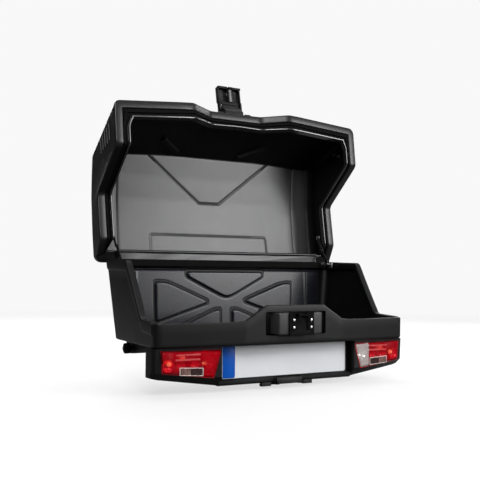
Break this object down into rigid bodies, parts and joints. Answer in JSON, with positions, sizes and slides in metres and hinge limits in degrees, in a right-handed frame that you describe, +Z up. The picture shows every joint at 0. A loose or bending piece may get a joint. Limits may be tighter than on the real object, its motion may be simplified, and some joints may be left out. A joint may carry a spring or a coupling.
{
  "type": "tow-ball cargo box",
  "caption": "Hinged-lid plastic cargo box on a tilting tow-ball frame, with tail lights, a number plate, a latch and folding lid stays.",
  "frame": {"origin": "centre of the tow ball inside the coupling's socket", "axes": "+Z up, +Y towards the vehicle, +X to the right as seen from behind; the lid is stored open"},
  "size_m": [1.0716, 0.6762, 1.1319],
  "materials": {
    "shell_plastic": "fine-grained black",
    "trim_plastic": "fine-grained black",
    "rubber": "matt black",
    "black_steel": "black powder coat",
    "zinc_steel": "zinc plated",
    "bright_steel": "bright",
    "plate_film": "white reflective film with a blue band",
    "red_lens": "glossy, translucent",
    "clear_lens": "glossy, translucent",
    "reflector": "metallised behind the lens"
  },
  "bodies": {
    "coupling": {"coupling_housing": "black_steel", "tilt_pivot_pin": "zinc_steel", "clamp_lever_pin": "zinc_steel"},
    "box": {"base_tub": "shell_plastic", "back_edge_seal": "rubber", "hinge_base_leaf": "zinc_steel", "hinge_pin": "zinc_steel", "stay_base_bracket_left": "zinc_steel", "stay_base_bracket_right": "zinc_steel", "striker_plate": "trim_plastic", "striker_bolt_1": "bright_steel", "striker_bolt_2": "bright_steel", "striker_bolt_3": "bright_steel", "striker_bolt_4": "bright_steel", "bumper_left": "shell_plastic", "bumper_right": "shell_plastic", "light_housing_left": "reflector", "light_housing_right": "reflector", "lens_outer_left": "red_lens", "lens_outer_right": "red_lens", "lens_fog_left": "red_lens", "lens_reverse_right": "clear_lens", "lens_window_left": "clear_lens", "lens_window_right": "clear_lens", "bulb_tail_left": "clear_lens", "bulb_tail_right": "clear_lens", "bulb_turn_left": "clear_lens", "bulb_turn_right": "clear_lens", "number_plate": "plate_film", "plate_holder": "trim_plastic", "plate_carrier": "trim_plastic", "lower_lip_left": "trim_plastic", "lower_lip_right": "trim_plastic", "frame_rail_left": "black_steel", "frame_rail_right": "black_steel", "frame_rear_cross": "black_steel", "frame_front_cross": "black_steel", "side_rail_left": "black_steel", "side_rail_right": "black_steel", "cable_gland": "trim_plastic"},
    "lid": {"lid_shell": "shell_plastic", "lid_seal": "rubber", "hinge_lid_leaf": "zinc_steel", "stay_lid_bracket_left": "zinc_steel", "stay_lid_bracket_right": "zinc_steel", "latch_body": "trim_plastic", "latch_pin": "zinc_steel"},
    "latch_lever": {"latch_lever": "trim_plastic", "latch_hook": "bright_steel"},
    "lock_cylinder": {"lock_cylinder": "bright_steel"},
    "stay_lower_left": {"stay_lower_left": "black_steel"},
    "stay_lower_right": {"stay_lower_right": "black_steel"},
    "stay_upper_left": {"stay_upper_left": "black_steel"},
    "stay_upper_right": {"stay_upper_right": "black_steel"},
    "tilt_pedal": {"tilt_pedal": "trim_plastic"},
    "tilt_lock_pin": {"tilt_lock_pin": "zinc_steel"},
    "clamp_lever": {"clamp_lever": "black_steel"},
    "clamp_jaw": {"clamp_jaw": "zinc_steel"},
    "roller_left": {"roller_left": "rubber"},
    "roller_right": {"roller_right": "rubber"}
  },
  "joints": [
    {"name": "tilt", "type": "hinge", "parent": "coupling", "child": "box", "pos_m": [0, -0.09, 0.042], "axis": [1, 0, 0], "range_deg": [0, 40]},
    {"name": "lid_hinge", "type": "hinge", "parent": "box", "child": "lid", "pos_m": [0, -0.074, 0.446], "axis": [1, 0, 0], "range_deg": [0, 101.04]},
    {"name": "latch_lever", "type": "hinge", "parent": "lid", "child": "latch_lever", "pos_m": [0, -0.10628, 1.01165], "axis": [1, 0, 0], "range_deg": [0, 90]},
    {"name": "lock_turn", "type": "hinge", "parent": "latch_lever", "child": "lock_cylinder", "pos_m": [0, -0.08285, 1.07433], "axis": [0, 0.9815, -0.1915], "range_deg": [0, 90]},
    {"name": "tilt_pedal", "type": "hinge", "parent": "box", "child": "tilt_pedal", "pos_m": [0, -0.503, -0.0125], "axis": [1, 0, 0], "range_deg": [-15, 0]},
    {"name": "tilt_lock_pin", "type": "slide", "parent": "box", "child": "tilt_lock_pin", "axis": [1, 0, 0], "range_m": [0, 0.014]},
    {"name": "clamp_lever", "type": "hinge", "parent": "coupling", "child": "clamp_lever", "pos_m": [0, -0.015, 0.054], "axis": [1, 0, 0], "range_deg": [-80, 0]},
    {"name": "clamp_jaw", "type": "slide", "parent": "coupling", "child": "clamp_jaw", "axis": [0, 1, 0], "range_m": [-0.006, 0]},
    {"name": "stay_lower_left", "type": "hinge", "parent": "box", "child": "stay_lower_left", "pos_m": [-0.4655, -0.133, 0.408], "axis": [1, 0, 0], "range_deg": [0, 117.3]},
    {"name": "stay_upper_left", "type": "hinge", "parent": "lid", "child": "stay_upper_left", "pos_m": [-0.4695, -0.056, 0.519], "axis": [1, 0, 0], "range_deg": [-132.4, 0]},
    {"name": "roller_left", "type": "hinge", "parent": "box", "child": "roller_left", "pos_m": [-0.449, -0.155, 0.097], "axis": [1, 0, 0], "continuous": true},
    {"name": "stay_lower_right", "type": "hinge", "parent": "box", "child": "stay_lower_right", "pos_m": [0.4655, -0.133, 0.408], "axis": [1, 0, 0], "range_deg": [0, 117.3]},
    {"name": "stay_upper_right", "type": "hinge", "parent": "lid", "child": "stay_upper_right", "pos_m": [0.4695, -0.056, 0.519], "axis": [1, 0, 0], "range_deg": [-132.4, 0]},
    {"name": "roller_right", "type": "hinge", "parent": "box", "child": "roller_right", "pos_m": [0.449, -0.155, 0.097], "axis": [1, 0, 0], "continuous": true}
  ],
  "couplings": [
    {"joint": "tilt_lock_pin", "follows": "tilt_pedal", "m_per_rad": -0.053},
    {"joint": "clamp_jaw", "follows": "clamp_lever", "m_per_rad": 0.0042},
    {"joint": "stay_lower_left", "follows": "lid_hinge", "ratio": 1.156},
    {"joint": "stay_upper_left", "follows": "lid_hinge", "ratio": -1.3054},
    {"joint": "stay_lower_right", "follows": "lid_hinge", "ratio": 1.156},
    {"joint": "stay_upper_right", "follows": "lid_hinge", "ratio": -1.3054}
  ]
}
